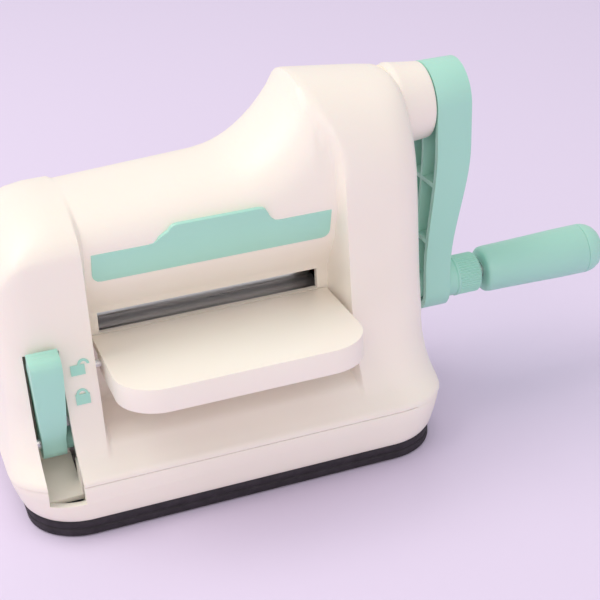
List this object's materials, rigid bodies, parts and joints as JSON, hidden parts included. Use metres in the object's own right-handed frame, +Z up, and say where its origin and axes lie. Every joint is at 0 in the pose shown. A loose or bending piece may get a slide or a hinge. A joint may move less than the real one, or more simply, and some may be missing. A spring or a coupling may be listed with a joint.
{
  "type": "die cutting machine",
  "caption": "Compact hand-cranked roller die cutting machine with suction base, fold-up feed tables and side crank.",
  "frame": {"origin": "on the table, under the centre of the rubber foot", "axes": "+X towards the crank, +Y to the rear, +Z up"},
  "size_m": [0.2435, 0.124, 0.137],
  "materials": {
    "cream_plastic": "satin",
    "mint_plastic": "satin",
    "black_rubber": "matte",
    "steel": "brushed",
    "plate_steel": "zinc plated",
    "bronze": "sintered",
    "clear_rubber": "smooth"
  },
  "bodies": {
    "machine": {"housing": "cream_plastic", "base_ring": "cream_plastic", "rubber_foot": "black_rubber", "floor_plate": "plate_steel", "stem_guide": "plate_steel", "lever_pin": "steel", "lever_well": "cream_plastic", "lock_marks": "mint_plastic", "left_frame": "plate_steel", "right_inner_frame": "plate_steel", "right_outer_frame": "plate_steel", "tie_rods": "steel", "frame_screws": "steel", "upper_bushings": "bronze", "lower_bushings": "bronze", "idler_pin": "steel", "crank_bushings": "bronze", "front_panel": "mint_plastic", "rear_panel": "mint_plastic", "front_hinge_pins": "steel", "rear_hinge_pins": "steel", "floor_screws": "steel"},
    "upper_roller": {"upper_roller": "steel", "upper_gear": "steel", "upper_clip": "steel"},
    "lower_roller": {"lower_roller": "steel", "lower_gear": "steel", "lower_clip": "steel"},
    "idler": {"idler_gear": "steel"},
    "crank": {"crank_shaft": "steel", "crank_pinion": "steel", "crank_arm": "mint_plastic", "hub_cap": "mint_plastic", "grip_spindle": "steel", "grip_collar": "mint_plastic", "crank_clip": "steel"},
    "hand_grip": {"grip": "mint_plastic", "grip_end": "mint_plastic"},
    "lever": {"suction_lever": "mint_plastic"},
    "stem": {"suction_stem": "steel", "suction_cup": "clear_rubber"},
    "front_tray": {"front_table": "cream_plastic"},
    "rear_tray": {"rear_table": "cream_plastic"}
  },
  "joints": [
    {"name": "upper_roller_spin", "type": "hinge", "parent": "machine", "child": "upper_roller", "pos_m": [0, 0, 0.0751], "axis": [1, 0, 0], "continuous": true},
    {"name": "lower_roller_spin", "type": "hinge", "parent": "machine", "child": "lower_roller", "pos_m": [0, 0, 0.0475], "axis": [1, 0, 0], "continuous": true},
    {"name": "idler_spin", "type": "hinge", "parent": "machine", "child": "idler", "pos_m": [0.06, 0.01111, 0.09888], "axis": [1, 0, 0], "continuous": true},
    {"name": "crank_spin", "type": "hinge", "parent": "machine", "child": "crank", "pos_m": [0.06, 0, 0.117], "axis": [1, 0, 0], "continuous": true},
    {"name": "grip_spin", "type": "hinge", "parent": "crank", "child": "hand_grip", "pos_m": [0.13, 0, 0.0445], "axis": [1, 0, 0], "continuous": true},
    {"name": "lever_swing", "type": "hinge", "parent": "machine", "child": "lever", "pos_m": [-0.063, -0.027, 0.029], "axis": [1, 0, 0], "range_deg": [0, 70]},
    {"name": "stem_lift", "type": "slide", "parent": "machine", "child": "stem", "axis": [0, 0, 1], "range_m": [0, 0.0015]},
    {"name": "front_tray_fold", "type": "hinge", "parent": "machine", "child": "front_tray", "pos_m": [0, -0.027, 0.054], "axis": [-1, 0, 0], "range_deg": [0, 80]},
    {"name": "rear_tray_fold", "type": "hinge", "parent": "machine", "child": "rear_tray", "pos_m": [0, 0.027, 0.054], "axis": [1, 0, 0], "range_deg": [0, 80]}
  ],
  "couplings": [
    {"joint": "lower_roller_spin", "follows": "upper_roller_spin", "ratio": -1},
    {"joint": "idler_spin", "follows": "upper_roller_spin", "ratio": -1.1},
    {"joint": "crank_spin", "follows": "upper_roller_spin", "ratio": 1.5714},
    {"joint": "stem_lift", "follows": "lever_swing", "m_per_rad": 0.0012278}
  ]
}
